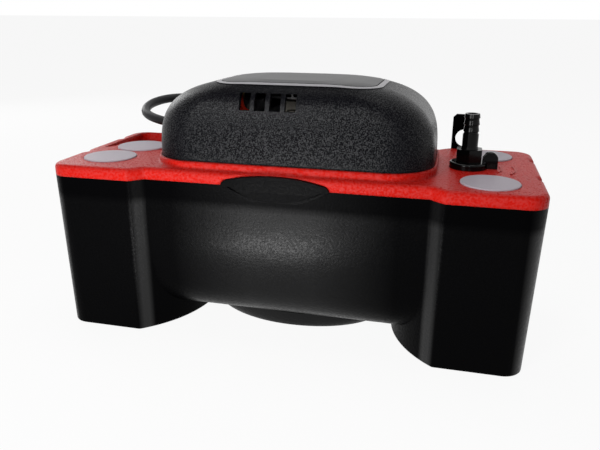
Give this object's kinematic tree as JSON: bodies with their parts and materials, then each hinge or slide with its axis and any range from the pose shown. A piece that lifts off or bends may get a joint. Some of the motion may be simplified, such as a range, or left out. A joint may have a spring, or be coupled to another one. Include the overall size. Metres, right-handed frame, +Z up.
{
  "type": "condensate pump",
  "caption": "Condensate pump: black tank, red lid with capped inlets, domed motor cover with vents, barbed outlet valve, hanging ears and power cord.",
  "frame": {"origin": "on the floor, under the middle of the tank", "axes": "+Z up, +X along the pump towards the outlet valve, -Y the front with the vents"},
  "size_m": [0.2992, 0.2272, 0.161],
  "materials": {
    "tank_plastic": "fine-grained moulded black, satin",
    "lid_plastic": "fine-grained moulded red, satin",
    "cover_plastic": "coarse-grained moulded black",
    "cap_plastic": "translucent grey-white, smooth",
    "lamination_steel": "stacked laminations",
    "bobbin_plastic": "moulded natural nylon",
    "winding_tape": "yellow film tape over copper wire",
    "zinc_steel": "zinc-plated stamping",
    "bearing_bronze": "oiled sintered bronze",
    "cage_aluminium": "cast",
    "shaft_steel": "ground",
    "fan_plastic": "moulded",
    "seal_rubber": "matte",
    "pump_plastic": "moulded",
    "impeller_plastic": "moulded",
    "tube_vinyl": "clear vinyl, slightly cloudy",
    "valve_plastic": "moulded, shiny",
    "poppet_rubber": "matte",
    "float_foam": "closed-cell foam",
    "stem_plastic": "moulded",
    "switch_plastic": "moulded",
    "terminal_brass": "stamped",
    "button_plastic": "moulded",
    "relief_rubber": "moulded",
    "cord_vinyl": "smooth extruded jacket",
    "wire_vinyl": "insulation, slightly glossy",
    "plug_vinyl": "moulded"
  },
  "bodies": {
    "pump": {"tank": "tank_plastic", "cover_plate": "lid_plastic", "motor_cover": "cover_plastic", "stator_stack": "lamination_steel", "bridge_core": "lamination_steel", "coil_bobbin": "bobbin_plastic", "motor_winding": "winding_tape", "lower_bracket": "zinc_steel", "upper_bracket": "zinc_steel", "lower_bearing": "bearing_bronze", "upper_bearing": "bearing_bronze", "motor_bolts": "zinc_steel", "pump_column": "pump_plastic", "column_screws": "shaft_steel", "volute_cover": "pump_plastic", "volute_screws": "shaft_steel", "discharge_tube": "tube_vinyl", "hose_clamps": "shaft_steel", "switch_body": "switch_plastic", "switch_screws": "zinc_steel", "switch_terminals": "terminal_brass", "lever_pin": "shaft_steel", "lead_wires": "wire_vinyl", "strain_relief": "relief_rubber", "power_cord": "cord_vinyl", "cord_coil": "cord_vinyl", "power_plug": "plug_vinyl", "plug_blades": "terminal_brass"},
    "rotor": {"motor_shaft": "shaft_steel", "rotor_core": "lamination_steel", "rotor_cage": "cage_aluminium", "cooling_fan": "fan_plastic", "shaft_slinger": "seal_rubber", "impeller": "impeller_plastic"},
    "float_group": {"float": "float_foam", "float_stem": "stem_plastic", "stem_clips": "shaft_steel"},
    "lever_group": {"switch_lever": "shaft_steel"},
    "button_group": {"switch_button": "button_plastic"},
    "outlet_valve": {"valve_body": "valve_plastic", "valve_o_ring": "seal_rubber", "valve_spring": "shaft_steel"},
    "poppet_group": {"valve_poppet": "poppet_rubber"},
    "cap_front_left": {"inlet_cap_front_left": "cap_plastic"},
    "cap_front_right": {"inlet_cap_front_right": "cap_plastic"},
    "cap_rear_left": {"inlet_cap_rear_left": "cap_plastic"},
    "cap_rear_right": {"inlet_cap_rear_right": "cap_plastic"}
  },
  "joints": [
    {"name": "rotor_spin", "type": "hinge", "parent": "pump", "child": "rotor", "pos_m": [0, 0, 0.13], "axis": [0, 0, 1], "continuous": true},
    {"name": "float_rise", "type": "slide", "parent": "pump", "child": "float_group", "axis": [0, 0, 1], "range_m": [0, 0.01]},
    {"name": "switch_lever_tilt", "type": "hinge", "parent": "pump", "child": "lever_group", "pos_m": [-0.028, 0, 0.1286], "axis": [0, 1, 0], "range_deg": [0, 17]},
    {"name": "switch_button_press", "type": "slide", "parent": "pump", "child": "button_group", "axis": [0, 0, 1], "range_m": [0, 0.0022]},
    {"name": "outlet_valve_turn", "type": "hinge", "parent": "pump", "child": "outlet_valve", "pos_m": [0.1068, 0, 0.12], "axis": [0, 0, 1], "range_deg": [0, 90]},
    {"name": "valve_poppet_lift", "type": "slide", "parent": "outlet_valve", "child": "poppet_group", "axis": [0, 0, 1], "range_m": [0, 0.0025], "stiffness_N_per_m": 20, "deforming": ["valve_spring"]},
    {"name": "inlet_cap_front_left_lift", "type": "slide", "parent": "pump", "child": "cap_front_left", "axis": [0, 0, 1], "range_m": [0, 0.02]},
    {"name": "inlet_cap_front_right_lift", "type": "slide", "parent": "pump", "child": "cap_front_right", "axis": [0, 0, 1], "range_m": [0, 0.02]},
    {"name": "inlet_cap_rear_left_lift", "type": "slide", "parent": "pump", "child": "cap_rear_left", "axis": [0, 0, 1], "range_m": [0, 0.02]},
    {"name": "inlet_cap_rear_right_lift", "type": "slide", "parent": "pump", "child": "cap_rear_right", "axis": [0, 0, 1], "range_m": [0, 0.02]}
  ],
  "couplings": [
    {"joint": "switch_lever_tilt", "follows": "float_rise", "rad_per_m": 29.41},
    {"joint": "switch_button_press", "follows": "float_rise", "ratio": 0.22}
  ]
}
